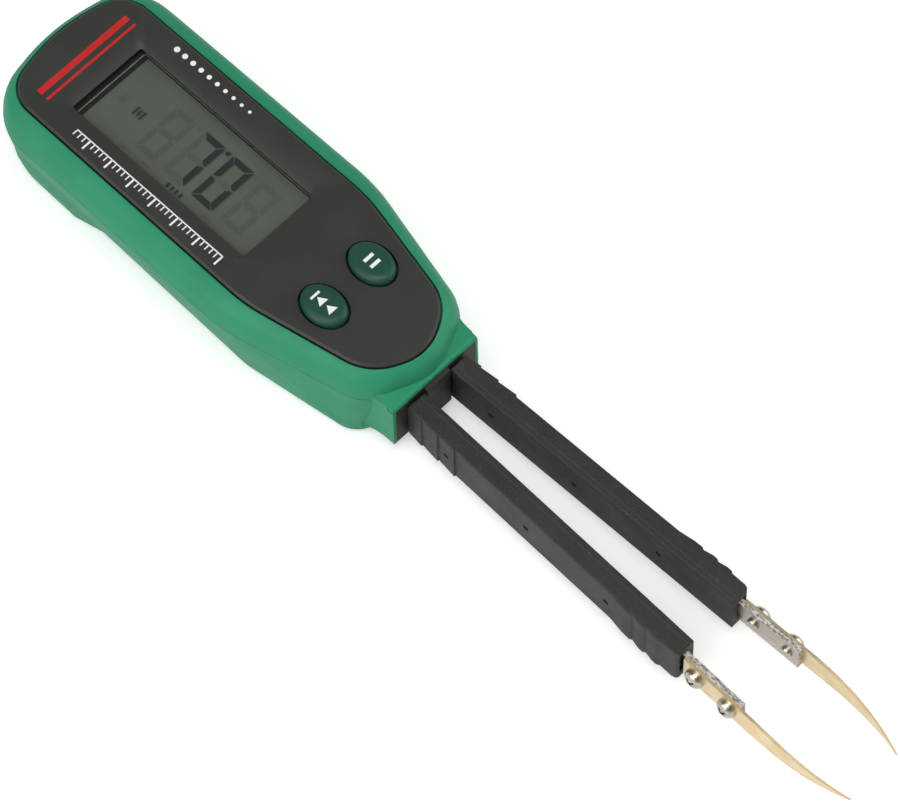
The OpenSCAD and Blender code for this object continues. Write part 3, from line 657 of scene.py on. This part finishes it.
TRIANGLE = [(-0.2, -0.95), (1.3, 0.0), (-0.2, 0.95)]
triangles = [[(u + shift, v) for u, v in TRIANGLE] for shift in (-1.9, 0.2)]
key_print("mode_key", triangles + [bar(2.0, 0, 0.42, 1.9)])
key_print("hold_key", [bar(u, 0, 0.62, 2.0) for u in (-0.75, 0.75)])


# ---------------------------------------------------------------- stage, light and camera


FLOOR_SIZE, FLOOR_GAP, FLOOR_LIFT = 6.0, 0.02 * MM, 0.36


def floor_look():
    """Matt white paper, lifted towards pure white where the camera sees it."""
    k = Look("floor", (0.93, 0.93, 0.92), 0.6)
    tint = k.ramp(k.noise(60, 2.0), [(0.3, (0.92, 0.92, 0.91)), (0.7, (0.94, 0.94, 0.93))])
    k.link(tint, k.bsdf.inputs["Base Color"])
    lift = k.add("ShaderNodeLightPath").outputs["Is Camera Ray"]
    k.set("Emission Color", (1.0, 1.0, 1.0, 1.0))
    k.link(k.math("MULTIPLY", lift, FLOOR_LIFT), k.bsdf.inputs["Emission Strength"])
    return k.done()


bpy.ops.mesh.primitive_plane_add(size=FLOOR_SIZE, location=(0, 0, CAD_BOX[0].z - FLOOR_GAP))
floor = bpy.context.object
floor.name = "floor"
floor.data.materials.append(floor_look())


def towards(azimuth, elevation):
    """Unit vector from the part to a lamp or camera; azimuth 0 is the -Y side, and 90 is +X."""
    a, e = math.radians(azimuth), math.radians(elevation)
    return Vector((math.sin(a) * math.cos(e), -math.cos(a) * math.cos(e), math.sin(e)))


def softbox(name, azimuth, elevation, distance, size, watts):
    """A square area light aimed at the middle of the part."""
    back = towards(azimuth, elevation)
    data = bpy.data.lights.new(name, "AREA")
    data.shape = "SQUARE"
    data.size = size
    data.energy = watts
    lamp = bpy.data.objects.new(name, data)
    lamp.location = MIDDLE + back * distance
    lamp.rotation_mode = "QUATERNION"
    lamp.rotation_quaternion = (-back).to_track_quat("-Z", "Y")
    bpy.context.scene.collection.objects.link(lamp)


MIDDLE = (CAD_BOX[0] + CAD_BOX[1]) / 2
softbox("left_soft", azimuth=-8, elevation=34, distance=0.60, size=0.50, watts=2.0)
softbox("right_soft", azimuth=150, elevation=34, distance=0.60, size=0.50, watts=1.6)
softbox("top_soft", azimuth=20, elevation=80, distance=0.80, size=0.50, watts=2.7)

HORIZON_LIGHT, ZENITH_LIGHT, ZENITH_FROM = 0.62, 0.13, 0.6


def studio_world():
    """A room that is brighter at the horizon than overhead, and plain white where the camera sees it."""
    world = bpy.data.worlds.new("studio")
    bpy.context.scene.world = world
    world.use_nodes = True
    sky = world.node_tree
    background = sky.nodes["Background"]
    background.inputs["Color"].default_value = (1.0, 1.0, 1.0, 1.0)
    ray = sky.nodes.new("ShaderNodeTexCoord")
    height = sky.nodes.new("ShaderNodeSeparateXYZ")
    fade = sky.nodes.new("ShaderNodeValToRGB")
    horizon, zenith = fade.color_ramp.elements
    horizon.color = (HORIZON_LIGHT,) * 3 + (1.0,)
    zenith.color = (ZENITH_LIGHT,) * 3 + (1.0,)
    zenith.position = ZENITH_FROM
    seen = sky.nodes.new("ShaderNodeLightPath")
    bright = sky.nodes.new("ShaderNodeMath")
    bright.operation = "MAXIMUM"
    sky.links.new(ray.outputs["Generated"], height.inputs[0])
    sky.links.new(height.outputs["Z"], fade.inputs[0])
    sky.links.new(fade.outputs[0], bright.inputs[0])
    sky.links.new(seen.outputs["Is Camera Ray"], bright.inputs[1])
    sky.links.new(bright.outputs[0], background.inputs["Strength"])


studio_world()
bpy.context.scene.view_settings.view_transform = "Standard"

AZIMUTH, ELEVATION, ROLL = 46.47, 62.59, -1.96
DISTANCE, LENS = 0.8787, 227.1
NECK_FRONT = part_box("bottom_shell")[1].x
AIM = Vector((NECK_FRONT + 6.94 * MM, -3.65 * MM, PANEL_TOP))


def add_camera():
    """A long lens above the near side, aimed at the roots of the arms."""
    back = towards(AZIMUTH, ELEVATION)
    level = Vector((0, 0, 1)).cross(back).normalized()
    turn = Matrix.Rotation(math.radians(ROLL), 3, back)
    right, up = turn @ level, turn @ back.cross(level)
    camera = bpy.data.objects.new("camera", bpy.data.cameras.new("camera"))
    camera.data.lens = LENS
    camera.data.sensor_width = 36.0
    camera.data.clip_start, camera.data.clip_end = 0.01, 20.0
    camera.matrix_world = Matrix((right, up, back)).transposed().to_4x4()
    camera.location = AIM + back * DISTANCE
    bpy.context.scene.collection.objects.link(camera)
    bpy.context.scene.camera = camera


add_camera()
